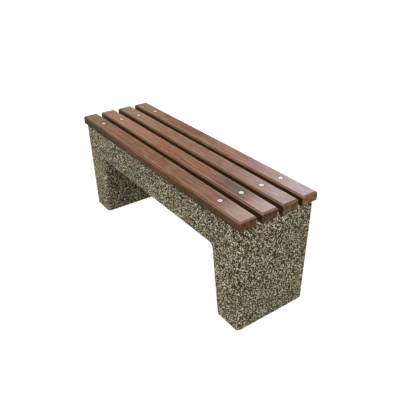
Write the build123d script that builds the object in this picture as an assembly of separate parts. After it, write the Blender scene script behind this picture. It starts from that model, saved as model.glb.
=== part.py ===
from build123d import *
import os

# Garden bench: a one-piece portal of washed concrete carries four timber slats.
# Each slat is held down by two countersunk bolts, screwed into sockets cast into the concrete.
# Millimetres. X runs along the bench, Y from front (-) to back (+), Z up.
# The origin is on the floor, under the middle of the bench.

# Timber slats
slat_length = 1200.0
slat_width = 71.0
slat_thickness = 38.0
slat_gap = 22.0
slat_chamfer = 6.0
slat_lower_arris = 1.5
slat_names = ["front", "front_inner", "back_inner", "back"]

# Concrete base
base_length = 1197.0
base_depth = 335.0
base_height = 444.0
beam_depth = 145.0
leg_thickness_top = 167.0
leg_thickness_floor = 131.0
casting_chamfer = 10.0
corner_radius = 12.0

# M8 countersunk bolts and their holes in the slats
bolt_from_middle = 450.0
bolt_diameter = 8.0
bolt_length = 70.0
head_diameter = 16.0
head_rim = 0.4
head_sunk = 0.3
hex_across_flats = 5.0
hex_depth = 3.5
clearance_hole = 9.0

# Threaded sockets cast into the concrete
socket_diameter = 13.0
socket_length = 45.0
socket_foot_diameter = 20.0
socket_foot_thickness = 4.0
socket_bore = 8.1
socket_bore_depth = 36.0

# Reinforcement
bar_diameter = 8.0
link_diameter = 6.0
bar_cover = 31.0
bar_bend_radius = 28.0
link_bend_radius = 12.0
bar_from_middle = 110.0
leg_bar_from_middle = 96.0
leg_bar_from_face = 32.0
bottom_bar_end = 535.0
bar_to_link = 2.0
link_spacing = 180.0
link_count = 5
tie_heights = {"lower": 100.0, "upper": 230.0}

# Worked out from the dimensions above
half_length = base_length / 2
opening_height = base_height - beam_depth
seat_height = base_height + slat_thickness
slat_pitch = slat_width + slat_gap
slat_places = {name: (i - 1.5) * slat_pitch for i, name in enumerate(slat_names)}
sides = {"left": -1, "right": 1}
head_top = seat_height - head_sunk
outer_bar_x = half_length - bar_cover - bar_diameter / 2
top_bar_z = base_height - bar_cover - bar_diameter / 2
bottom_bar_z = opening_height + bar_cover
leg_bar_top = top_bar_z - 2 * bar_diameter
link_offset = (bar_diameter + link_diameter) / 2 + bar_to_link


def rod(diameter, low, high):
    """A vertical round rod between two heights."""
    return extrude(Plane.XY.offset(low) * Circle(diameter / 2), high - low)


def bent_bar(points, diameter, bend_radius, closed=False):
    """A round steel bar bent through the given points."""
    path = FilletPolyline(*points, radius=bend_radius, close=closed)
    section = Plane(origin=path @ 0, z_dir=path % 0) * Circle(diameter / 2)
    return sweep(section, path=path)


def inner_face_x(height):
    """How far the tapered inner face of a leg is from the middle, at a height."""
    taper = (leg_thickness_top - leg_thickness_floor) / opening_height
    return half_length - leg_thickness_floor - taper * height


def bolt_hole():
    """The hole through a slat, with the cone at its mouth that the bolt head lies in."""
    hole = clearance_hole / 2
    mouth = head_diameter / 2 + head_rim + head_sunk
    cone_foot = seat_height - (mouth - hole)
    outline = Polyline(
        (0, base_height),
        (hole, base_height),
        (hole, cone_foot),
        (mouth, seat_height),
        (0, seat_height),
        close=True,
    )
    return revolve(Plane.XZ * make_face(outline), Axis.Z)


def slat(place):
    """One timber slat, drilled and countersunk for its two bolts."""
    timber = Pos(0, place, base_height + slat_thickness / 2) * Box(slat_length, slat_width, slat_thickness)
    timber = chamfer(timber.faces().sort_by(Axis.Z)[-1].edges(), slat_chamfer)
    timber = chamfer(timber.faces().sort_by(Axis.Z)[0].edges(), slat_lower_arris)
    for side in sides.values():
        timber -= Pos(side * bolt_from_middle, place, 0) * bolt_hole()
    return timber


def bolt():
    """A countersunk bolt: a flat head with a hexagon socket, and a plain shank for its thread."""
    head = head_diameter / 2
    shank = bolt_diameter / 2
    cone_top = head_top - head_rim
    cone_foot = cone_top - (head - shank)
    tip = head_top - bolt_length
    outline = Polyline(
        (0, head_top),
        (head, head_top),
        (head, cone_top),
        (shank, cone_foot),
        (shank, tip),
        (0, tip),
        close=True,
    )
    hexagon = RegularPolygon(hex_across_flats / 2, 6, major_radius=False)
    key_hole = extrude(Plane.XY.offset(head_top - hex_depth) * hexagon, hex_depth)
    return revolve(Plane.XZ * make_face(outline), Axis.Z) - key_hole


def socket_body():
    """The outside of a cast-in socket: a sleeve on a wider foot that the concrete grips."""
    top = base_height
    foot_top = top - socket_length + socket_foot_thickness
    foot = rod(socket_foot_diameter, top - socket_length, foot_top)
    return foot + rod(socket_diameter, top - socket_length, top)


def socket():
    """A cast-in socket with its blind threaded bore."""
    return socket_body() - rod(socket_bore, base_height - socket_bore_depth, base_height)


def reinforcement():
    """Every bar, link and tie inside the casting, by name."""
    steel = {}
    for name, side in (("front", -1), ("back", 1)):
        y = side * bar_from_middle
        top_points = [
            (-outer_bar_x, y, bar_cover),
            (-outer_bar_x, y, top_bar_z),
            (outer_bar_x, y, top_bar_z),
            (outer_bar_x, y, bar_cover),
        ]
        steel[f"top_bar_{name}"] = bent_bar(top_points, bar_diameter, bar_bend_radius)
        start = Plane(origin=(-bottom_bar_end, y, bottom_bar_z), z_dir=(1, 0, 0))
        steel[f"bottom_bar_{name}"] = extrude(start * Circle(bar_diameter / 2), 2 * bottom_bar_end)
        for leg, direction in sides.items():
            steel[f"leg_bar_{leg}_{name}"] = leg_bar(direction, side * leg_bar_from_middle)
    for i in range(link_count):
        x = (i - (link_count - 1) / 2) * link_spacing
        steel[f"beam_link_{i + 1}"] = beam_link(x)
    for leg, direction in sides.items():
        for name, height in tie_heights.items():
            steel[f"leg_tie_{leg}_{name}"] = leg_tie(direction, height)
    return steel


def leg_bar(direction, y):
    """A straight bar up a leg, parallel to its tapered inner face."""
    low = Vector(direction * (inner_face_x(bar_cover) + leg_bar_from_face), y, bar_cover)
    high = Vector(direction * (inner_face_x(leg_bar_top) + leg_bar_from_face), y, leg_bar_top)
    run = high - low
    return extrude(Plane(origin=low, z_dir=run) * Circle(bar_diameter / 2), run.length)


def beam_link(x):
    """A closed link round the four bars of the beam."""
    y = bar_from_middle + link_offset
    low = bottom_bar_z - link_offset
    high = top_bar_z + link_offset
    corners = [(x, -y, low), (x, y, low), (x, y, high), (x, -y, high)]
    return bent_bar(corners, link_diameter, link_bend_radius, closed=True)


def leg_tie(direction, height):
    """A closed tie, lying level round the bars of a leg."""
    y = bar_from_middle + link_offset
    inner = direction * (inner_face_x(height) + leg_bar_from_face - link_offset)
    outer = direction * (outer_bar_x + link_offset)
    corners = [(inner, -y, height), (outer, -y, height), (outer, y, height), (inner, y, height)]
    return bent_bar(corners, link_diameter, link_bend_radius, closed=True)


def concrete_base(cast_in):
    """The casting: a beam on two legs, chamfered all round, and hollow where steel is cast in."""
    inner_top = inner_face_x(opening_height)
    inner_floor = inner_face_x(0)
    outline = Polyline(
        (-half_length, 0),
        (-half_length, base_height),
        (half_length, base_height),
        (half_length, 0),
        (inner_floor, 0),
        (inner_top, opening_height),
        (-inner_top, opening_height),
        (-inner_floor, 0),
        close=True,
    )
    profile = make_face(outline)
    under_beam = [v for v in profile.vertices() if abs(v.Y - opening_height) < 1]
    profile = fillet(under_beam, corner_radius)
    casting = extrude(Plane.XZ * profile, base_depth / 2, both=True)
    front_and_back = casting.faces().filter_by(Axis.Y)
    arrises = [edge for face in front_and_back for edge in face.edges() if edge.center().Z > 1]
    arrises += casting.edges().filter_by(Axis.Y).group_by(Axis.Z)[-1]
    casting = chamfer(arrises, casting_chamfer)
    for piece in cast_in:
        casting -= piece
    return casting


nodes = {}
cast_in_pieces = []
for slat_name, slat_y in slat_places.items():
    nodes[f"slat_{slat_name}"] = slat(slat_y)
    for side_name, side_x in sides.items():
        place = Pos(side_x * bolt_from_middle, slat_y, 0)
        nodes[f"bolt_{side_name}_{slat_name}"] = place * bolt()
        nodes[f"socket_{side_name}_{slat_name}"] = place * socket()
        cast_in_pieces.append(place * socket_body())

steel_pieces = reinforcement()
nodes.update(steel_pieces)
cast_in_pieces.extend(steel_pieces.values())
nodes["concrete_base"] = concrete_base(cast_in_pieces)

os.makedirs("parts", exist_ok=True)
for node_name, shape in nodes.items():
    export_step(shape, f"parts/{node_name}.step")
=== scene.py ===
import math

import bmesh
import bpy
from mathutils import Matrix, Vector


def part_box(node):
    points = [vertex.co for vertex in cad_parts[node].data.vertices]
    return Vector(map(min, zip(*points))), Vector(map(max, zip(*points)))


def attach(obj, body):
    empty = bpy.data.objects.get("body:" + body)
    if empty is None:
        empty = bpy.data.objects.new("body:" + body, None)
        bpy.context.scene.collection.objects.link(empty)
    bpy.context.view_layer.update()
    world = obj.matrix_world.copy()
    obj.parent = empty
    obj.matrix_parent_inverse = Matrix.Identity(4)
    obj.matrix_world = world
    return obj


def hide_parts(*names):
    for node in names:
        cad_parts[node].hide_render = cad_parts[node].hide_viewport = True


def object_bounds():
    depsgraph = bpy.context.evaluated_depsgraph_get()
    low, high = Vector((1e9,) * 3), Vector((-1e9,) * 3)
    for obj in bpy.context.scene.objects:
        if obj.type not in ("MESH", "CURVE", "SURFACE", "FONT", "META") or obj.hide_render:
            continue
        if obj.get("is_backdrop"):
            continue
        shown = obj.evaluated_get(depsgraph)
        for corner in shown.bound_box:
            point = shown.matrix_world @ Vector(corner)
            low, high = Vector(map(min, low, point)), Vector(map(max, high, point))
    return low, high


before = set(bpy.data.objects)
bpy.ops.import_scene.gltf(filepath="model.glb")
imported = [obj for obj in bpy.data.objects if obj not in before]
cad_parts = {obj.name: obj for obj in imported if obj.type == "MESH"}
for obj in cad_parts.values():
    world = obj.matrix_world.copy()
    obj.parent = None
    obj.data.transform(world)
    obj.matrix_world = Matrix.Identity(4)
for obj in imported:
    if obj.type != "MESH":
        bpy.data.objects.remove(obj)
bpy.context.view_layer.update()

MM = 0.001

# ---------------------------------------------------------------------------
# Reinforcing steel: bars, links and ties inside the casting.
# Hot-rolled round steel, cut and bent cold, tied into a cage and cast in, so
# it keeps its blue-grey mill scale with a little rust.
# ---------------------------------------------------------------------------


def linear(colour):
    """The linear colour that shaders use, from an sRGB hex one."""
    parts = [int(colour[i:i + 2], 16) / 255 for i in (1, 3, 5)]
    return [p / 12.92 if p <= 0.04045 else ((p + 0.055) / 1.055) ** 2.4 for p in parts] + [1.0]


def add_node(tree, kind, inputs=None, stops=None, **settings):
    """Adds a node with its settings, sets or links its inputs, and gives a ramp its stops. Inputs go by
    name, or by number where names repeat: a Mix has its share at 0, its numbers at 2 and 3 and its
    colours at 6 and 7."""
    made = tree.nodes.new(kind)
    for name, value in settings.items():
        setattr(made, name, value)
    for name, value in (inputs or {}).items():
        if isinstance(value, bpy.types.NodeSocket):
            tree.links.new(value, made.inputs[name])
        else:
            made.inputs[name].default_value = value
    for i, (place, colour) in enumerate(stops or []):
        ramp = made.color_ramp.elements
        stop = ramp[i] if i < 2 else ramp.new(place)
        stop.position = place
        stop.color = linear(colour)
    return made


def new_material(name):
    """An empty material, its node tree, its shader and its coordinates."""
    made = bpy.data.materials.new(name)
    made.use_nodes = True
    tree = made.node_tree
    return made, tree, tree.nodes["Principled BSDF"], add_node(tree, "ShaderNodeTexCoord").outputs


def mill_scale_steel():
    """Hot-rolled steel with mill scale: dark blue-grey, patched with thin rust."""
    made, tree, shader, coordinates = new_material("hot-rolled steel with mill scale")
    patch = 20 * MM
    rust = add_node(tree, "ShaderNodeTexNoise",
                    {"Vector": coordinates["Object"], "Scale": 1 / patch, "Detail": 6.0})
    tone = add_node(tree, "ShaderNodeValToRGB", {"Fac": rust.outputs["Fac"]},
                    stops=[(0.42, "#3b3d40"), (0.62, "#6b4630")])
    tree.links.new(tone.outputs["Color"], shader.inputs["Base Color"])
    rough = add_node(tree, "ShaderNodeMapRange",
                     {"Value": rust.outputs["Fac"], "To Min": 0.45, "To Max": 0.8})
    tree.links.new(rough.outputs["Result"], shader.inputs["Roughness"])
    shader.inputs["Metallic"].default_value = 0.6
    return made


rolled_steel = mill_scale_steel()
for name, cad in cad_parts.items():
    if name.startswith(("top_bar", "bottom_bar", "leg_bar", "beam_link", "leg_tie")):
        cad.material_slots[0].material = rolled_steel

# ---------------------------------------------------------------------------
# Cast-in sockets: eight threaded steel sleeves, each on a wider foot.
# Turned steel, zinc plated. They are fixed to the mould's floor before the
# casting is poured upside down, so their mouths end up flush with its top.
# ---------------------------------------------------------------------------

head_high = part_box("bolt_right_front")[1].z


def zinc_plated_steel():
    """Weathered zinc plating: pale metal with fine turning marks and dull patches, and a thin bloom of
    white zinc salts that makes it partly matt."""
    made, tree, shader, coordinates = new_material("zinc-plated steel")
    place = coordinates["Object"]
    # Turning marks are about 0.1 mm apart, and are drawn at 0.6 mm so that they show.
    mark, patch = 0.6 * MM, 6 * MM
    dull = add_node(tree, "ShaderNodeTexNoise", {"Vector": place, "Scale": 1 / patch, "Detail": 5.0})
    tone = add_node(tree, "ShaderNodeValToRGB", {"Fac": dull.outputs["Fac"]},
                    stops=[(0.3, "#aaa79f"), (0.55, "#c0bcb2"), (0.8, "#cfcabf")])
    # Painted shade fills the key's hexagon, below the eased rim of the head.
    socket_shade_starts, socket_shade_full = head_high - 0.35 * MM, head_high - 0.7 * MM
    upward = add_node(tree, "ShaderNodeSeparateXYZ", {0: place}).outputs["Z"]
    socket_shade = add_node(tree, "ShaderNodeMapRange", {"Value": upward, "From Min": socket_shade_full,
                                                   "From Max": socket_shade_starts, "To Min": 0.9, "To Max": 0.0})
    shaded_socket = add_node(tree, "ShaderNodeMix",
                      {0: socket_shade.outputs["Result"], 6: tone.outputs["Color"], 7: linear("#2b241d")},
                      data_type="RGBA")
    tree.links.new(shaded_socket.outputs[2], shader.inputs["Base Color"])
    rough = add_node(tree, "ShaderNodeMapRange",
                     {"Value": dull.outputs["Fac"], "To Min": 0.58, "To Max": 0.40})
    tree.links.new(rough.outputs["Result"], shader.inputs["Roughness"])
    marks = add_node(tree, "ShaderNodeTexNoise", {"Vector": place, "Scale": 1 / mark, "Detail": 2.0})
    bump = add_node(tree, "ShaderNodeBump",
                    {"Height": marks.outputs["Fac"], "Strength": 0.25, "Distance": 0.1 * MM})
    tree.links.new(bump.outputs["Normal"], shader.inputs["Normal"])
    shader.inputs["Metallic"].default_value = 0.35
    return made


zinc = zinc_plated_steel()
for name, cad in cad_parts.items():
    if name.startswith("socket_"):
        cad.material_slots[0].material = zinc

# ---------------------------------------------------------------------------
# Concrete base: one casting, a beam on two legs that taper on the inside.
# River gravel in a grey-brown cement mortar. The skin of mortar is washed off
# before it sets, which leaves the stones standing 1 to 2 mm out of it.
# ---------------------------------------------------------------------------

base_low, base_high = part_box("concrete_base")
leg_at_beam, leg_at_floor = 167 * MM, 131 * MM
beam_depth = 145 * MM
arris = 10 * MM
under_beam_radius = 12 * MM
stone_relief = 1.5 * MM
surface_step = 1.7 * MM
large_stone, small_stone = 4.6 * MM, 2.9 * MM


def washed_stones(tree, place):
    """Stones of two sizes, packed side by side. Gives the height up a stone, 0 in the mortar to 1
    on its crown, and a number from 0 to 1 that is each stone's own and sets its tone."""
    bend_size, bend = 5 * MM, 2.6 * MM
    noise = add_node(tree, "ShaderNodeTexNoise", {"Vector": place, "Scale": 1 / bend_size, "Detail": 2.0})
    centred = add_node(tree, "ShaderNodeVectorMath", {0: noise.outputs["Color"], 1: (0.5, 0.5, 0.5)},
                       operation="SUBTRACT")
    bent = add_node(tree, "ShaderNodeVectorMath", {0: centred.outputs[0], 1: (bend,) * 3, 2: place},
                    operation="MULTIPLY_ADD")
    height, number = 0.0, 0.0
    # Each size of stone: its spacing, its smallest and largest share of that, its crown's height, and
    # the power that makes its tones darker.
    for spacing, smallest, largest, crown, darker in ((large_stone, 0.30, 0.62, 1.0, 0.62),
                                                      (small_stone, 0.42, 0.80, 0.7, 1.75)):
        cell = add_node(tree, "ShaderNodeTexVoronoi", {"Vector": bent.outputs[0], "Scale": 1 / spacing})
        # A cell's own colour follows from where its stone lies in it, so it is shuffled first.
        shuffled = add_node(tree, "ShaderNodeTexWhiteNoise", {"Vector": cell.outputs["Color"]})
        own = add_node(tree, "ShaderNodeSeparateXYZ", {0: shuffled.outputs["Color"]})
        reach = add_node(tree, "ShaderNodeMapRange",
                         {"Value": own.outputs["X"], "To Min": smallest, "To Max": largest})
        share = add_node(tree, "ShaderNodeMath",
                         {0: cell.outputs["Distance"], 1: reach.outputs["Result"]}, operation="DIVIDE")
        squared = add_node(tree, "ShaderNodeMath", {0: share.outputs[0], 1: 2.0}, operation="POWER")
        dome = add_node(tree, "ShaderNodeMath", {0: 1.0, 1: squared.outputs[0]},
                        operation="SUBTRACT", use_clamp=True)
        risen = add_node(tree, "ShaderNodeMath", {0: dome.outputs[0], 1: crown}, operation="MULTIPLY")
        higher = add_node(tree, "ShaderNodeMath", {0: risen.outputs[0], 1: height},
                          operation="GREATER_THAN")
        own_number = add_node(tree, "ShaderNodeMath", {0: own.outputs["Y"], 1: darker},
                              operation="POWER")
        number = add_node(tree, "ShaderNodeMix",
                          {0: higher.outputs[0], 2: number, 3: own_number.outputs[0]}).outputs[0]
        height = add_node(tree, "ShaderNodeMath", {0: risen.outputs[0], 1: height},
                          operation="MAXIMUM").outputs[0]
    return height, number


def portal(inset):
    """The casting's plain shape, inside its CAD box by an inset: outline, then depth, then arrises."""
    near = 1 * MM
    low, high = base_low + Vector((inset, inset, inset)), base_high - Vector((inset, inset, inset))
    inner_floor = high.x - leg_at_floor + 2 * inset
    inner_top = high.x - leg_at_beam + 2 * inset
    under_beam = high.z - beam_depth + 2 * inset
    outline = [(low.x, low.z), (-inner_floor, low.z), (-inner_top, under_beam), (inner_top, under_beam),
               (inner_floor, low.z), (high.x, low.z), (high.x, high.z), (low.x, high.z)]
    shape = bmesh.new()
    front = shape.faces.new([shape.verts.new((x, low.y, z)) for x, z in outline])
    swept = bmesh.ops.extrude_face_region(shape, geom=[front])["geom"]
    moved = [v for v in swept if isinstance(v, bmesh.types.BMVert)]
    bmesh.ops.translate(shape, verts=moved, vec=(0, high.y - low.y, 0))
    bmesh.ops.recalc_face_normals(shape, faces=shape.faces)
    corners = [e for e in shape.edges
               if all(abs(v.co.z - under_beam) < near for v in e.verts)
               and abs(e.verts[0].co.x - e.verts[1].co.x) < near]
    bmesh.ops.bevel(shape, geom=corners, offset=under_beam_radius, offset_type="OFFSET", segments=4,
                    profile=0.5, affect="EDGES", material=-1)
    outer = [e for e in shape.edges
             if (abs(e.verts[0].co.y - e.verts[1].co.y) < near
                 or all(v.co.z > high.z - near for v in e.verts))
             and not all(v.co.z < low.z + near for v in e.verts)
             and e.calc_face_angle(0) > math.radians(60)]
    bmesh.ops.bevel(shape, geom=outer, offset=arris, offset_type="OFFSET", segments=1,
                    profile=0.5, affect="EDGES", material=-1)
    return shape


def as_piece(name, shape):
    """A named object from a finished bmesh."""
    mesh = bpy.data.meshes.new(name)
    shape.to_mesh(mesh)
    shape.free()
    piece = bpy.data.objects.new(name, mesh)
    bpy.context.scene.collection.objects.link(piece)
    return piece


def apply_modifiers(piece):
    """Makes the mesh that the modifiers give the piece's own mesh."""
    graph = bpy.context.evaluated_depsgraph_get()
    mesh = bpy.data.meshes.new_from_object(piece.evaluated_get(graph), preserve_all_data_layers=True,
                                           depsgraph=graph)
    piece.modifiers.clear()
    piece.data = mesh


def raise_surface(piece, name, pattern, relief, start=0.0):
    """Moves each point out along its normal by a pattern's height, and keeps its first place as an
    attribute, so that the material draws the same pattern where the shape has it."""
    tree = bpy.data.node_groups.new(name, "GeometryNodeTree")
    tree.interface.new_socket("Geometry", in_out="INPUT", socket_type="NodeSocketGeometry")
    tree.interface.new_socket("Geometry", in_out="OUTPUT", socket_type="NodeSocketGeometry")
    shape = add_node(tree, "NodeGroupInput").outputs[0]
    place = add_node(tree, "GeometryNodeInputPosition").outputs[0]
    normal = add_node(tree, "GeometryNodeInputNormal").outputs[0]
    kept = add_node(tree, "GeometryNodeStoreNamedAttribute",
                    {"Geometry": shape, "Name": "first_place", "Value": place}, data_type="FLOAT_VECTOR")
    rise = add_node(tree, "ShaderNodeMath", {0: pattern(tree, place)[0], 1: relief, 2: start},
                    operation="MULTIPLY_ADD")
    offset = add_node(tree, "ShaderNodeVectorMath", {0: normal, "Scale": rise.outputs[0]},
                      operation="SCALE")
    raised = add_node(tree, "GeometryNodeSetPosition",
                      {"Geometry": kept.outputs[0], "Offset": offset.outputs[0]})
    add_node(tree, "NodeGroupOutput", {0: raised.outputs[0]})
    modifier = piece.modifiers.new(name, "NODES")
    modifier.node_group = tree


def washed_concrete():
    """Exposed-aggregate concrete: rounded stones from cream to dark brown, each one tone, satin where
    they are worn, in a rough, darker olive-brown mortar that dirt has settled in."""
    made, tree, shader, _ = new_material("washed exposed-aggregate concrete")
    place = add_node(tree, "ShaderNodeAttribute", attribute_name="first_place").outputs["Vector"]
    vein_size, grit_size, patch = 1.5 * MM, 1.1 * MM, 110 * MM
    height, number = washed_stones(tree, place)
    stone = add_node(tree, "ShaderNodeValToRGB", {"Fac": number}, stops=[
        (0.0, "#2f260f"), (0.25, "#463a1c"), (0.48, "#5e512c"), (0.62, "#8a7b4b"), (0.70, "#d8c999"),
        (0.78, "#f4eac8"), (0.90, "#fefae2")])
    stone.color_ramp.interpolation = "CONSTANT"
    vein = add_node(tree, "ShaderNodeTexNoise", {"Vector": place, "Scale": 1 / vein_size, "Detail": 3.0})
    veined = add_node(tree, "ShaderNodeMapRange",
                      {"Value": vein.outputs["Fac"], "To Min": 0.72, "To Max": 1.28})
    toned = add_node(tree, "ShaderNodeVectorMath",
                     {0: stone.outputs["Color"], "Scale": veined.outputs["Result"]}, operation="SCALE")
    grit = add_node(tree, "ShaderNodeTexNoise", {"Vector": place, "Scale": 1 / grit_size, "Detail": 4.0})
    mortar = add_node(tree, "ShaderNodeValToRGB", {"Fac": grit.outputs["Fac"]},
                      stops=[(0.3, "#1a1406"), (0.7, "#372d13")])
    shown = add_node(tree, "ShaderNodeMapRange", {"Value": height, "From Min": 0.02, "From Max": 0.22})
    mixed = add_node(tree, "ShaderNodeMix",
                     {0: shown.outputs["Result"], 6: mortar.outputs["Color"], 7: toned.outputs[0]},
                     data_type="RGBA")
    # Weather darkens the casting in broad, faint patches about a hand across.
    weather = add_node(tree, "ShaderNodeTexNoise", {"Vector": place, "Scale": 1 / patch, "Detail": 3.0})
    faded = add_node(tree, "ShaderNodeMapRange", {"Value": weather.outputs["Fac"], "From Min": 0.3,
                                                   "From Max": 0.7, "To Min": 0.90, "To Max": 1.08})
    final = add_node(tree, "ShaderNodeVectorMath",
                     {0: mixed.outputs[2], "Scale": faded.outputs["Result"]}, operation="SCALE")
    tree.links.new(final.outputs[0], shader.inputs["Base Color"])
    rough = add_node(tree, "ShaderNodeMapRange", {"Value": height, "To Min": 0.95, "To Max": 0.5})
    tree.links.new(rough.outputs["Result"], shader.inputs["Roughness"])
    bump = add_node(tree, "ShaderNodeBump",
                    {"Height": grit.outputs["Fac"], "Strength": 0.5, "Distance": 0.35 * MM})
    tree.links.new(bump.outputs["Normal"], shader.inputs["Normal"])
    return made


def cut_out(whole, name, cuts):
    """A closed block of the casting, between planes that each have a place and an outward direction."""
    block = whole.copy()
    for place, outward in cuts:
        geometry = block.verts[:] + block.edges[:] + block.faces[:]
        cut = bmesh.ops.bisect_plane(block, geom=geometry, dist=1e-7, plane_co=place, plane_no=outward,
                                     clear_outer=True)["geom_cut"]
        rim = [e for e in cut if isinstance(e, bmesh.types.BMEdge)]
        for edge in rim:
            edge.smooth = False
        bmesh.ops.holes_fill(block, edges=rim, sides=0)
    return as_piece(name, block)


casting = as_piece("casting_whole", portal(stone_relief))
remesh = casting.modifiers.new("even mesh", "REMESH")
remesh.mode = "VOXEL"
remesh.voxel_size = surface_step
raise_surface(casting, "washed surface", washed_stones, stone_relief)
apply_modifiers(casting)
whole = bmesh.new()
whole.from_mesh(casting.data)
bpy.data.objects.remove(casting)
for face in whole.faces:
    face.smooth = True
concrete = washed_concrete()
# The casting is cut into eight blocks that meet face to face, to keep each one's mesh small.
past_leg = 8 * MM
leg_cut = base_high.x - leg_at_beam - past_leg
mid_height = base_high.z * 0.5
leg_parts = {"foot": [((0, 0, mid_height), (0, 0, 1))], "shoulder": [((0, 0, mid_height), (0, 0, -1))]}
castings = {}
for side, way in (("left", -1), ("right", 1)):
    at_leg, at_quarter, at_middle = (way * leg_cut, 0, 0), (way * leg_cut / 2, 0, 0), (0, 0, 0)
    outward, inward = (way, 0, 0), (-way, 0, 0)
    for part, across in leg_parts.items():
        castings[f"casting_{side}_{part}"] = [(at_leg, inward)] + across
    castings[f"casting_beam_{side}"] = [(at_leg, outward), (at_quarter, inward)]
    castings[f"casting_beam_{side}_middle"] = [(at_quarter, outward), (at_middle, inward)]
for name, cuts in castings.items():
    block = cut_out(whole, name, cuts)
    block.data.materials.append(concrete)
    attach(block, "root")
    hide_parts("concrete_base")
whole.free()

# ---------------------------------------------------------------------------
# Slats: four planks of stained tropical hardwood, laid along the casting.
# Planed square, chamfered along the top and across the ends, then drilled and
# countersunk for two bolts each. Weather has greyed them and raised the grain, and
# their colour also holds painted sheen, highlights and shade.
# ---------------------------------------------------------------------------

first_low, first_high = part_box("slat_front")
slat_low, slat_high, slat_end = first_low.z, first_high.z, first_high.x
slat_half = (first_high.y - first_low.y) / 2
bolt_from_middle = (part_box("bolt_right_front")[0].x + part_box("bolt_right_front")[1].x) / 2
slat_chamfer, slat_lower_arris = 6 * MM, 1.5 * MM
cone_mouth, hole_radius = 8.7 * MM, 4.5 * MM
worn_edge = 0.6 * MM
grain_relief = 0.22 * MM

# Each board's own sawing and finish: where its log's heart lay, how the log leant, the spacing of its
# rings, its three tones, the redness and greyness of its patches, the painted shade low on its front and
# back sides, and how much tone its chamfers keep under painted shade at the left and right end. Its
# stains are broad ones on its top, each with its place along the board, its reach, its colour and its
# strength; the pale grey ones at the right end are painted sheen.
boards = {
    "front": dict(
        heart=(0.045, -0.060), lean=0.030, ring=6.0 * MM, tones=("#372217", "#543723", "#7d563a"),
        blush="#713721", red=0.50, grey=0.45, end="#634227", side_shade=(0.45, 0.95), chamfer_shade=(0.46, 0.82),
        # Its patch at the right end is painted sheen.
        stains_and_sheen=((0.57, 0.08, "#93806f", 0.45),)),
    "front_inner": dict(
        heart=(-0.020, -0.110), lean=-0.022, ring=5.0 * MM, tones=("#3c2314", "#5e3922", "#875a3b"),
        blush="#793e22", red=0.55, grey=0.40, end="#634c35", side_shade=(0.95, 0.95), chamfer_shade=(0.56, 0.76),
        stains_and_sheen=((-0.36, 0.26, "#876550", 0.46), (0.39, 0.10, "#33241d", 0.60),
                # The next patch, at the right end, is painted sheen.
                (0.58, 0.07, "#8a7a72", 0.45))),
    "back_inner": dict(
        heart=(0.075, -0.030), lean=0.018, ring=7.0 * MM, tones=("#3c291b", "#604631", "#87644a"),
        blush="#723f27", red=0.45, grey=0.50, end="#72593f", side_shade=(0.95, 0.95), chamfer_shade=(0.38, 0.64),
        stains_and_sheen=((-0.42, 0.18, "#836650", 0.30),)),
    "back": dict(
        heart=(0.012, -0.085), lean=0.026, ring=5.5 * MM, tones=("#3b2417", "#603c28", "#865c40"),
        blush="#773e29", red=0.55, grey=0.50, end="#815e40", side_shade=(0.95, 0.45), chamfer_shade=(0.33, 0.80),
        # Its second patch, the pale grey one at the right end, is painted sheen.
        stains_and_sheen=((-0.16, 0.14, "#4a2f20", 0.35), (0.55, 0.10, "#7d6c66", 0.45))),
}


def growth_rings(tree, place, board, slat_y):
    """The board's grain: its height, its growth rings as seen on any cut face, and its fine fibres."""
    # The grain sways over some 330 mm along the board and 45 mm across it.
    sway, turns_per_metre = 26 * MM, (3.0, 22.0, 22.0)
    wave = add_node(tree, "ShaderNodeVectorMath", {0: place, 1: turns_per_metre}, operation="MULTIPLY")
    bend = add_node(tree, "ShaderNodeTexNoise", {"Vector": wave.outputs[0], "Scale": 1.0, "Detail": 3.0})
    centred = add_node(tree, "ShaderNodeVectorMath", {0: bend.outputs["Color"], 1: (0.5, 0.5, 0.5)},
                       operation="SUBTRACT")
    bent = add_node(tree, "ShaderNodeVectorMath", {0: centred.outputs[0], 1: (0, sway, sway), 2: place},
                    operation="MULTIPLY_ADD")
    parts = add_node(tree, "ShaderNodeSeparateXYZ", {0: bent.outputs[0]})
    leant = add_node(tree, "ShaderNodeMath",
                     {0: parts.outputs["X"], 1: board["lean"], 2: parts.outputs["Y"]},
                     operation="MULTIPLY_ADD")
    across = add_node(tree, "ShaderNodeMath", {0: leant.outputs[0], 1: slat_y + board["heart"][0]},
                      operation="SUBTRACT")
    up = add_node(tree, "ShaderNodeMath", {0: parts.outputs["Z"], 1: slat_high + board["heart"][1]},
                  operation="SUBTRACT")
    from_heart = add_node(tree, "ShaderNodeCombineXYZ", {0: across.outputs[0], 1: up.outputs[0]})
    radius = add_node(tree, "ShaderNodeVectorMath", {0: from_heart.outputs[0]}, operation="LENGTH")
    turns = add_node(tree, "ShaderNodeMath", {0: radius.outputs["Value"], 1: 2 * math.pi / board["ring"]},
                     operation="MULTIPLY")
    ring = add_node(tree, "ShaderNodeMath", {0: turns.outputs[0]}, operation="SINE")
    # Fibres are a few hundredths of a millimetre wide, and are drawn at 1.6 mm so that they show.
    fibre_length, fibre_width = 120 * MM, 1.6 * MM
    drawn = add_node(tree, "ShaderNodeVectorMath",
                     {0: place, 1: (1 / fibre_length, 1 / fibre_width, 1 / fibre_width)},
                     operation="MULTIPLY")
    fibre = add_node(tree, "ShaderNodeTexNoise", {"Vector": drawn.outputs[0], "Scale": 1.0, "Detail": 3.0})
    raised = add_node(tree, "ShaderNodeMath", {0: ring.outputs[0], 1: 0.25, 2: fibre.outputs["Fac"]},
                      operation="MULTIPLY_ADD")
    return raised.outputs[0], ring.outputs[0], fibre.outputs["Fac"]


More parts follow.
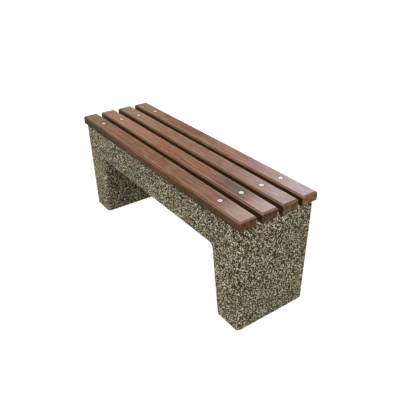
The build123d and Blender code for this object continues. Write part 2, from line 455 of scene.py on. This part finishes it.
def patches_along(tree, place, length, width, detail):
    """Cloudy patches of about this size in millimetres, drawn out along the grain."""
    drawn = add_node(tree, "ShaderNodeVectorMath",
                     {0: place, 1: (1 / (length * MM), 1 / (width * MM), 1 / (width * MM))},
                     operation="MULTIPLY")
    noise = add_node(tree, "ShaderNodeTexNoise", {"Vector": drawn.outputs[0], "Scale": 1.0,
                                                   "Detail": detail, "Roughness": 0.62})
    return noise.outputs["Fac"]


def slat_places(tree, place, slat_y):
    """Where a point lies in its slat: along it and across it from its middle, from the middle to
    either end, in from the nearest side or end, and down from the top."""
    parts = add_node(tree, "ShaderNodeSeparateXYZ", {0: place})
    along = parts.outputs["X"]
    either_way = add_node(tree, "ShaderNodeMath", {0: along}, operation="ABSOLUTE").outputs[0]
    across = add_node(tree, "ShaderNodeMath", {0: parts.outputs["Y"], 1: slat_y},
                      operation="SUBTRACT").outputs[0]
    to_side = add_node(tree, "ShaderNodeMath", {0: across}, operation="ABSOLUTE")
    side_in = add_node(tree, "ShaderNodeMath", {0: slat_half, 1: to_side.outputs[0]}, operation="SUBTRACT")
    end_in = add_node(tree, "ShaderNodeMath", {0: slat_end, 1: either_way}, operation="SUBTRACT")
    inward = add_node(tree, "ShaderNodeMath", {0: side_in.outputs[0], 1: end_in.outputs[0]},
                      operation="MINIMUM").outputs[0]
    down = add_node(tree, "ShaderNodeMath", {0: slat_high, 1: parts.outputs["Z"]},
                    operation="SUBTRACT").outputs[0]
    return along, across, either_way, inward, down


def streaked_stain(tree, board, ring, fibre, streak):
    """The stain as it dried: three tones in streaks and fibres, with faint rings."""
    part_ring = add_node(tree, "ShaderNodeMath", {0: ring, 1: 0.06, 2: -0.12}, operation="MULTIPLY_ADD")
    part_fibre = add_node(tree, "ShaderNodeMath", {0: fibre, 1: 0.70, 2: part_ring.outputs[0]},
                          operation="MULTIPLY_ADD")
    grain = add_node(tree, "ShaderNodeMath", {0: streak, 1: 0.55, 2: part_fibre.outputs[0]},
                     operation="MULTIPLY_ADD")
    dark, middle, light = board["tones"]
    stain = add_node(tree, "ShaderNodeValToRGB", {"Fac": grain.outputs[0]},
                     stops=[(0.34, dark), (0.50, middle), (0.66, light)])
    return stain.outputs["Color"]


def red_and_grey(tree, board, tone, along, flush, weather):
    """Patches where the stain has held, which are redder, and where it has worn, which are grey. The grey
    grows towards the ends, most at the left end, partly from rain and partly as painted sheen."""
    held = add_node(tree, "ShaderNodeMapRange", {"Value": flush, "From Min": 0.45, "From Max": 0.57,
                                                  "To Min": 0.0, "To Max": board["red"]})
    red = add_node(tree, "ShaderNodeMix",
                   {0: held.outputs["Result"], 6: tone, 7: linear(board["blush"])}, data_type="RGBA")
    # Greyer towards both ends and most at the left end: partly weathering, partly painted sheen.
    least_grey_at, end_grey_starts, end_grey_full = 80 * MM, 360 * MM, 680 * MM
    off_least_grey = add_node(tree, "ShaderNodeMath", {0: along, 1: least_grey_at}, operation="SUBTRACT")
    from_least_grey = add_node(tree, "ShaderNodeMath", {0: off_least_grey.outputs[0]}, operation="ABSOLUTE")
    rain_and_sheen = add_node(tree, "ShaderNodeMapRange",
                         {"Value": from_least_grey.outputs[0], "From Min": end_grey_starts,
                          "From Max": end_grey_full, "To Min": 0.0, "To Max": 0.20})
    wear_and_sheen = add_node(tree, "ShaderNodeMath", {0: weather, 1: rain_and_sheen.outputs["Result"]},
                       operation="ADD")
    greyed = add_node(tree, "ShaderNodeMapRange", {"Value": wear_and_sheen.outputs[0], "From Min": 0.47,
                                                    "From Max": 0.63, "To Min": 0.0,
                                                    "To Max": board["grey"]})
    aged_and_sheened = add_node(tree, "ShaderNodeMix",
                    {0: greyed.outputs["Result"], 6: red.outputs[2], 7: linear("#6c5d4d")},
                    data_type="RGBA")
    return aged_and_sheened.outputs[2]


def top_stains_and_sheen(tree, board, tone, along, streak, facing_up):
    """The board's broad stains and worn stretches, frayed along the grain, on its top only; the pale grey
    ones at the right end are painted sheen.
    """
    fray, core, fringe = 0.20, 0.5, 1.2
    for middle, reach, colour, strength in board["stains_and_sheen"]:
        away = add_node(tree, "ShaderNodeMath", {0: along, 1: middle}, operation="SUBTRACT")
        off = add_node(tree, "ShaderNodeMath", {0: away.outputs[0]}, operation="ABSOLUTE")
        frayed = add_node(tree, "ShaderNodeMath", {0: streak, 1: fray, 2: off.outputs[0]},
                          operation="MULTIPLY_ADD")
        share = add_node(tree, "ShaderNodeMapRange",
                         {"Value": frayed.outputs[0], "From Min": fray / 2 + core * reach,
                          "From Max": fray / 2 + fringe * reach, "To Min": strength, "To Max": 0.0})
        on_top = add_node(tree, "ShaderNodeMapRange", {"Value": facing_up, "From Min": 0.5,
                                                        "From Max": 0.95,
                                                        "To Max": share.outputs["Result"]})
        tone = add_node(tree, "ShaderNodeMix", {0: on_top.outputs["Result"], 6: tone, 7: linear(colour)},
                        data_type="RGBA").outputs[2]
    return tone


def open_pores(tree, tone, pore):
    """Dark pores. Real ones are a fifth of a millimetre wide, and are drawn at 1.7 mm to show."""
    dark = add_node(tree, "ShaderNodeMapRange", {"Value": pore, "From Min": 0.30, "From Max": 0.44,
                                                  "To Min": 0.55, "To Max": 1.0})
    pored = add_node(tree, "ShaderNodeVectorMath", {0: tone, "Scale": dark.outputs["Result"]},
                     operation="SCALE")
    return pored.outputs[0]


def highlit_arrises_shaded_chamfers(tree, board, tone, along, inward, down):
    """A painted highlight along the arrises beside the chamfers, and chamfers darkened by painted shade,
    darkest at the left end and lightened towards the right by painted sheen."""
    arris_highlight_full, arris_highlight_ends = 0.8 * MM, 1.8 * MM
    left_place, right_place = -450 * MM, 400 * MM
    arrises = []
    for measure, start in ((inward, slat_chamfer + worn_edge), (down, slat_chamfer)):
        off = add_node(tree, "ShaderNodeMath", {0: measure, 1: start}, operation="SUBTRACT")
        arrises.append(add_node(tree, "ShaderNodeMath", {0: off.outputs[0]}, operation="ABSOLUTE"))
    from_arris = add_node(tree, "ShaderNodeMath", {0: arrises[0].outputs[0], 1: arrises[1].outputs[0]},
                          operation="MINIMUM")
    arris_highlight = add_node(tree, "ShaderNodeMapRange",
                      {"Value": from_arris.outputs[0], "From Min": arris_highlight_full, "From Max": arris_highlight_ends,
                       "To Min": 0.65, "To Max": 0.0})
    # The paler line along each arris of the chamfers is a painted highlight.
    pale = add_node(tree, "ShaderNodeMix", {0: arris_highlight.outputs["Result"], 6: tone, 7: linear("#94725a")},
                    data_type="RGBA")
    # The chamfers are darkened by painted shade, most at the left end and least at the right end, where
    # painted sheen lightens them.
    left_chamfer_shade, right_chamfer_shade = board["chamfer_shade"]
    kept = add_node(tree, "ShaderNodeMapRange",
                    {"Value": along, "From Min": left_place, "From Max": right_place,
                     "To Min": left_chamfer_shade, "To Max": right_chamfer_shade})
    shaded_chamfer = add_node(tree, "ShaderNodeMapRange",
                          {"Value": inward, "From Min": slat_chamfer - 1 * MM,
                           "From Max": slat_chamfer, "To Min": kept.outputs["Result"], "To Max": 1.0})
    edged = add_node(tree, "ShaderNodeVectorMath",
                     {0: pale.outputs[2], "Scale": shaded_chamfer.outputs["Result"]}, operation="SCALE")
    return edged.outputs[0]


def lit_sides_shaded_low(tree, board, tone, along, across, down, sideways):
    """Sides painted lighter, brightest near the middle, and painted shade towards their lower edges,
    strongest in the gaps. The bench's two outer sides get fainter painted shade than those in the gaps."""
    # Painted shade darkens each side towards its lower edge: strong and close under the top in the gaps
    # between slats, fainter and spread further on the bench's two outer sides.
    front_side_shade, back_side_shade = board["side_shade"]
    least_side_shade, most_side_shade = 0.45, 0.95
    outer_shade_reach, gap_shade_reach, below_top = 34 * MM, 5 * MM, 5 * MM
    # The sides are painted lighter than the top, brightest near the middle and dimmer towards the ends:
    # painted light.
    brightest_at, bright_until, dim_from = -30 * MM, 130 * MM, 330 * MM
    side_light = (1.95, 1.90, 1.40)
    side_shade_here = add_node(tree, "ShaderNodeMapRange", {"Value": across, "From Min": -5 * MM,
                                                   "From Max": 5 * MM, "To Min": front_side_shade,
                                                   "To Max": back_side_shade})
    reach = add_node(tree, "ShaderNodeMapRange",
                     {"Value": side_shade_here.outputs["Result"], "From Min": least_side_shade, "From Max": most_side_shade,
                      "To Min": outer_shade_reach, "To Max": gap_shade_reach})
    side_depth = add_node(tree, "ShaderNodeMath", {0: down, 1: below_top}, operation="SUBTRACT")
    painted_low_shade = add_node(tree, "ShaderNodeMapRange",
                        {"Value": side_depth.outputs[0], "From Max": reach.outputs["Result"],
                         "To Max": side_shade_here.outputs["Result"]})
    on_side = add_node(tree, "ShaderNodeMapRange", {"Value": sideways, "From Min": 0.75, "From Max": 0.9})
    off_brightest = add_node(tree, "ShaderNodeMath", {0: along, 1: -brightest_at}, operation="ADD")
    from_brightest = add_node(tree, "ShaderNodeMath", {0: off_brightest.outputs[0]}, operation="ABSOLUTE")
    side_brightness = add_node(tree, "ShaderNodeMapRange",
                     {"Value": from_brightest.outputs[0], "From Min": bright_until, "From Max": dim_from,
                      "To Min": 1.0, "To Max": 0.62})
    side_lit_colour = add_node(tree, "ShaderNodeVectorMath",
                           {0: side_light, "Scale": side_brightness.outputs["Result"]}, operation="SCALE")
    side_light_tone = add_node(tree, "ShaderNodeMix",
                         {0: on_side.outputs["Result"], 6: (1.0, 1.0, 1.0, 1.0),
                          7: side_lit_colour.outputs[0]}, data_type="RGBA")
    side_lit = add_node(tree, "ShaderNodeVectorMath", {0: tone, 1: side_light_tone.outputs[2]},
                       operation="MULTIPLY")
    shaded_sides = add_node(tree, "ShaderNodeMix",
                     {0: painted_low_shade.outputs["Result"], 6: side_lit.outputs[0], 7: linear("#33220f")},
                     data_type="RGBA")
    return shaded_sides.outputs[2]


def damp_round_bolts(tree, tone, either_way, across, weather):
    """A ragged ring of wood round each bolt head, stained by the water held there."""
    raggedness, damp_full, damp_ends = 16 * MM, 17 * MM, 30 * MM
    along = add_node(tree, "ShaderNodeMath", {0: either_way, 1: bolt_from_middle}, operation="SUBTRACT")
    from_bolt = add_node(tree, "ShaderNodeCombineXYZ", {0: along.outputs[0], 1: across})
    distance = add_node(tree, "ShaderNodeVectorMath", {0: from_bolt.outputs[0]}, operation="LENGTH")
    ragged = add_node(tree, "ShaderNodeMath", {0: weather, 1: raggedness, 2: distance.outputs["Value"]},
                      operation="MULTIPLY_ADD")
    damp = add_node(tree, "ShaderNodeMapRange",
                    {"Value": ragged.outputs[0], "From Min": damp_full, "From Max": damp_ends,
                     "To Min": 0.45, "To Max": 0.0})
    stained = add_node(tree, "ShaderNodeMix", {0: damp.outputs["Result"], 6: tone, 7: linear("#35291f")},
                       data_type="RGBA")
    return stained.outputs[2]


def with_end_grain(tree, board, tone, place, ring, endways):
    """End grain, which drinks more stain, in blotches, and shows the rings as lines."""
    blotch_size = 16 * MM
    on_end = add_node(tree, "ShaderNodeMapRange", {"Value": endways, "From Min": 0.75, "From Max": 0.9})
    ringed = add_node(tree, "ShaderNodeMath", {0: ring, 1: 0.30, 2: 0.92}, operation="MULTIPLY_ADD")
    soaked = add_node(tree, "ShaderNodeTexNoise",
                      {"Vector": place, "Scale": 1 / blotch_size, "Detail": 4.0})
    blotch = add_node(tree, "ShaderNodeMapRange", {"Value": soaked.outputs["Fac"], "From Min": 0.36,
                                                    "From Max": 0.62, "To Min": 0.45, "To Max": 1.35})
    end_tone = add_node(tree, "ShaderNodeMath", {0: ringed.outputs[0], 1: blotch.outputs["Result"]},
                        operation="MULTIPLY")
    end_grain = add_node(tree, "ShaderNodeVectorMath",
                         {0: linear(board["end"])[:3], "Scale": end_tone.outputs[0]}, operation="SCALE")
    final = add_node(tree, "ShaderNodeMix",
                     {0: on_end.outputs["Result"], 6: tone, 7: end_grain.outputs[0]}, data_type="RGBA")
    return final.outputs[2]


def stained_hardwood(name, board, slat_y):
    """Stained hardwood, planed and weathered: brown streaks and dark pores along the grain, redder where
    the stain has held, greyed where it has worn and towards the ends, and duller, ringed end grain. Its
    colour also holds painted sheen at the ends of the top, a painted highlight along the arrises, painted
    shade on the chamfers and low on the sides, and sides painted lighter than the top."""
    made, tree, shader, coordinates = new_material(f"stained hardwood, {name} slat")
    place = add_node(tree, "ShaderNodeAttribute", attribute_name="first_place").outputs["Vector"]
    _, ring, fibre = growth_rings(tree, place, board, slat_y)
    streak = patches_along(tree, place, 160, 7, 4.0)
    weather = patches_along(tree, place, 55, 22, 6.0)
    flush = patches_along(tree, place, 70, 28, 6.0)
    pore = patches_along(tree, place, 20, 1.7, 2.0)
    along, across, either_way, inward, down = slat_places(tree, place, slat_y)
    facing = add_node(tree, "ShaderNodeSeparateXYZ", {0: coordinates["Normal"]})
    endways, sideways = [add_node(tree, "ShaderNodeMath", {0: facing.outputs[axis]},
                                  operation="ABSOLUTE").outputs[0] for axis in ("X", "Y")]
    tone = streaked_stain(tree, board, ring, fibre, streak)
    tone = red_and_grey(tree, board, tone, along, flush, weather)
    tone = top_stains_and_sheen(tree, board, tone, along, streak, facing.outputs["Z"])
    tone = open_pores(tree, tone, pore)
    tone = highlit_arrises_shaded_chamfers(tree, board, tone, along, inward, down)
    tone = lit_sides_shaded_low(tree, board, tone, along, across, down, sideways)
    tone = damp_round_bolts(tree, tone, either_way, across, weather)
    tone = with_end_grain(tree, board, tone, place, ring, endways)
    tree.links.new(tone, shader.inputs["Base Color"])
    rough = add_node(tree, "ShaderNodeMapRange", {"Value": weather, "From Min": 0.35, "From Max": 0.65,
                                                   "To Min": 0.30, "To Max": 0.48})
    tree.links.new(rough.outputs["Result"], shader.inputs["Roughness"])
    shader.inputs["Specular IOR Level"].default_value = 0.22
    bump = add_node(tree, "ShaderNodeBump", {"Height": fibre, "Strength": 0.35, "Distance": 0.4 * MM})
    tree.links.new(bump.outputs["Normal"], shader.inputs["Normal"])
    return made


def slat_blank(low, high):
    """A plank with its top edges and ends chamfered and its lower edges eased."""
    timber = bmesh.new()
    bmesh.ops.create_cube(timber, size=1.0)
    bmesh.ops.scale(timber, vec=high - low, verts=timber.verts)
    bmesh.ops.translate(timber, vec=(low + high) / 2, verts=timber.verts)
    for level, width in ((high.z, slat_chamfer), (low.z, slat_lower_arris)):
        edges = [e for e in timber.edges if all(abs(v.co.z - level) < 0.1 * MM for v in e.verts)]
        bmesh.ops.bevel(timber, geom=edges, offset=width, offset_type="OFFSET", segments=1,
                        profile=0.5, affect="EDGES", material=-1)
    return timber


def turned(shape, profile, centre, steps):
    """Adds a solid to a bmesh, turned about an upright axis from a profile of (radius, height) points."""
    points = [shape.verts.new((centre.x + r, centre.y, z)) for r, z in profile]
    rims = [shape.edges.new(pair) for pair in zip(points, points[1:])]
    bmesh.ops.spin(shape, geom=points + rims, cent=(centre.x, centre.y, 0), axis=(0, 0, 1),
                   angle=2 * math.pi, steps=steps, use_merge=True)
    bmesh.ops.remove_doubles(shape, verts=shape.verts, dist=0.001 * MM)
    bmesh.ops.recalc_face_normals(shape, faces=shape.faces)


def drill(name, slat_y):
    """What the two drills with their countersinks take out of a slat."""
    cutter = bmesh.new()
    past = 10 * MM
    for end in (-1, 1):
        cone_foot = slat_high - (cone_mouth - hole_radius)
        profile = [(0, slat_low - past), (hole_radius, slat_low - past), (hole_radius, cone_foot),
                   (cone_mouth + past, slat_high + past), (0, slat_high + past)]
        turned(cutter, profile, Vector((end * bolt_from_middle, slat_y)), 64)
    return as_piece(name, cutter)


def grid_cuts(piece, steps):
    """Cuts a piece's faces by evenly spaced planes along each axis, so that its surface can be shaped."""
    shape = bmesh.new()
    shape.from_mesh(piece.data)
    for axis, step in enumerate(steps):
        values = [v.co[axis] for v in shape.verts]
        low, high = min(values), max(values)
        direction = Vector((axis == 0, axis == 1, axis == 2))
        count = round((high - low) / step)
        for i in range(1, count):
            place = direction * (low + (high - low) * i / count)
            geometry = shape.verts[:] + shape.edges[:] + shape.faces[:]
            bmesh.ops.bisect_plane(shape, geom=geometry, dist=1e-6, plane_co=place, plane_no=direction)
    shape.to_mesh(piece.data)
    shape.free()


mesh_steps = (14 * MM, 2.4 * MM, 4 * MM)
inset = Vector((grain_relief,) * 3)
for name, board in boards.items():
    low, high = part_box(f"slat_{name}")
    slat_y = (low.y + high.y) / 2
    slat = as_piece(f"timber_{name}", slat_blank(low + inset, high - inset))
    cutter = drill(f"drill_{name}", slat_y)
    cut = slat.modifiers.new("bolt holes", "BOOLEAN")
    cut.object = cutter
    worn = slat.modifiers.new("worn edges", "BEVEL")
    worn.width = worn_edge
    worn.segments = 3
    worn.angle_limit = math.radians(25)
    apply_modifiers(slat)
    bpy.data.objects.remove(cutter)
    grid_cuts(slat, mesh_steps)
    raise_surface(slat, f"raised grain {name}",
                  lambda tree, place: growth_rings(tree, place, board, slat_y),
                  grain_relief, -0.5 * grain_relief)
    apply_modifiers(slat)
    slat.data.shade_smooth()
    slat.data.materials.clear()
    slat.data.materials.append(stained_hardwood(name.replace("_", " "), board, slat_y))
    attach(slat, "root")
    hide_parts(f"slat_{name}")

# ---------------------------------------------------------------------------
# Bolts: eight M8 countersunk bolts with a hexagon socket, flush with the slats.
# Cold-headed steel, zinc plated. Each passes through its slat and is screwed
# into the socket cast below.
# ---------------------------------------------------------------------------

shank_radius, head_rim = 4 * MM, 0.4 * MM
key_flats, key_depth = 5 * MM, 3.5 * MM
tip_chamfer, eased_rim = 1.0 * MM, 0.25 * MM
thread_pitch, thread_depth, thread_turns = 1.25 * MM, 0.6 * MM, 24


def bolt_profile(low, high, head_radius):
    """Half the bolt's outline, from the tip up its thread and its cone to the middle of its head."""
    outline = [(0, low), (shank_radius - tip_chamfer, low)]
    for turn in range(thread_turns):
        crest = low + tip_chamfer + (turn + 0.5) * thread_pitch
        outline += [(shank_radius - thread_depth, crest - thread_pitch / 2), (shank_radius, crest)]
    cone_top = high - head_rim
    return outline + [(shank_radius, cone_top - (head_radius - shank_radius)), (head_radius, cone_top),
                      (head_radius, high), (0, high)]


for side in ("left", "right"):
    for name in boards:
        low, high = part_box(f"bolt_{side}_{name}")
        centre = (low + high) / 2
        shape = bmesh.new()
        turned(shape, bolt_profile(low.z, high.z, (high.x - low.x) / 2), centre, 48)
        bolt = as_piece(f"countersunk_bolt_{side}_{name}", shape)
        # Each bolt was tightened until it gripped, so their hexagons are turned differently.
        key = bmesh.new()
        turned_to = Matrix.Rotation(math.radians(30) + 40 * centre.y, 4, "Z")
        place = Matrix.Translation((centre.x, centre.y, high.z)) @ turned_to
        key_corner = key_flats / math.sqrt(3)
        bmesh.ops.create_cone(key, cap_ends=True, segments=6, radius1=key_corner, radius2=key_corner,
                              depth=2 * key_depth, matrix=place)
        key = as_piece(f"key_{side}_{name}", key)
        cut = bolt.modifiers.new("hexagon socket", "BOOLEAN")
        cut.object = key
        eased = bolt.modifiers.new("eased edges", "BEVEL")
        eased.width = eased_rim
        eased.segments = 2
        eased.angle_limit = math.radians(40)
        apply_modifiers(bolt)
        bpy.data.objects.remove(key)
        bolt.data.materials.clear()
        bolt.data.materials.append(zinc)
        bolt.data.shade_smooth()
        bolt.data.set_sharp_from_angle(angle=math.radians(50))
        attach(bolt, "root")
        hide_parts(f"bolt_{side}_{name}")

# ---------------------------------------------------------------------------
# Stage: a plain pale floor, soft light from all round, and the camera.
# None of it is part of the bench.
# ---------------------------------------------------------------------------

floor_reach, floor_drop = 30.0, 0.5 * MM
floor_mesh = bmesh.new()
bmesh.ops.create_grid(floor_mesh, x_segments=1, y_segments=1, size=floor_reach,
                      matrix=Matrix.Translation((0, 0, -floor_drop)))
floor = as_piece("floor", floor_mesh)
pale, pale_tree, pale_shader, _ = new_material("pale studio floor")
pale_shader.inputs["Base Color"].default_value = linear("#686868")
pale_shader.inputs["Roughness"].default_value = 0.9
pale_shader.inputs["Emission Color"].default_value = linear("#ffffff")
# The floor looks white, but it lights the bench only as a grey one would.
floor_glow = 0.92
seen = add_node(pale_tree, "ShaderNodeLightPath").outputs["Is Camera Ray"]
glow = add_node(pale_tree, "ShaderNodeMath", {0: seen, 1: floor_glow}, operation="MULTIPLY")
pale_tree.links.new(glow.outputs[0], pale_shader.inputs["Emission Strength"])
floor.data.materials.append(pale)
floor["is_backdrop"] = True

# The room is brightest overhead and dim near the horizon, and brighter in front than behind.
brighter_way = (0.18, -0.44, 0.0)
world = bpy.data.worlds.new("soft light all round")
world.use_nodes = True
sky = world.node_tree
looking = add_node(sky, "ShaderNodeTexCoord").outputs["Generated"]
upward = add_node(sky, "ShaderNodeSeparateXYZ", {0: looking}).outputs["Z"]
height = add_node(sky, "ShaderNodeMapRange",
                  {"Value": upward, "From Min": 0.42, "From Max": 0.75, "To Min": 0.50, "To Max": 2.50},
                  interpolation_type="SMOOTHSTEP")
sideways = add_node(sky, "ShaderNodeVectorMath", {0: looking, 1: brighter_way},
                    operation="DOT_PRODUCT")
evened = add_node(sky, "ShaderNodeMath", {0: sideways.outputs["Value"], 1: 1.0}, operation="ADD")
strength = add_node(sky, "ShaderNodeMath", {0: height.outputs["Result"], 1: evened.outputs[0]},
                    operation="MULTIPLY")
# Seen directly, it is as white as the floor.
watched = add_node(sky, "ShaderNodeLightPath").outputs["Is Camera Ray"]
shown = add_node(sky, "ShaderNodeMix", {0: watched, 2: strength.outputs[0], 3: 1.0})
sky.links.new(shown.outputs[0], sky.nodes["Background"].inputs["Strength"])
sky.nodes["Background"].inputs["Color"].default_value = linear("#fffdfa")
bpy.context.scene.world = world

# A soft box behind the bench gives the sheen on the tops of the slats' right ends.
lamp = bpy.data.lights.new("soft box behind", "AREA")
lamp.shape = "RECTANGLE"
lamp.size, lamp.size_y = 1.2, 1.2
lamp.energy = 40
lamp.color = linear("#e0e9ff")[:3]
soft_box = bpy.data.objects.new("soft box behind", lamp)
soft_box.location = (-1.04, 2.22, 1.95)
aim = Vector((0.6, 0.1, 0.48)) - soft_box.location
soft_box.rotation_euler = aim.to_track_quat("-Z", "Y").to_euler()
bpy.context.scene.collection.objects.link(soft_box)

# The camera stands at a distance from its target, round to the right of the front and looking down.
azimuth, elevation, roll = math.radians(54.553), math.radians(32.611), math.radians(-0.519)
distance, target = 2.2510, Vector((0.0, 0.1190, 0.0635))
back = Vector((math.sin(azimuth) * math.cos(elevation), -math.cos(azimuth) * math.cos(elevation),
               math.sin(elevation)))
level = (-back).cross(Vector((0, 0, 1))).normalized()
upright = level.cross(-back)
right = level * math.cos(roll) + upright * math.sin(roll)
upright = upright * math.cos(roll) - level * math.sin(roll)
lens = bpy.data.cameras.new("camera")
lens.sensor_width = 36.0
lens.lens = 42.375
lens.shift_x, lens.shift_y = -0.01314, 0.05610
lens.clip_start = 0.05
camera = bpy.data.objects.new("camera", lens)
turn = Matrix((right, upright, back)).transposed().to_4x4()
camera.matrix_world = Matrix.Translation(target + back * distance) @ turn
bpy.context.scene.collection.objects.link(camera)
bpy.context.scene.camera = camera
bpy.context.scene.view_settings.view_transform = "Standard"

low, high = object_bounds()
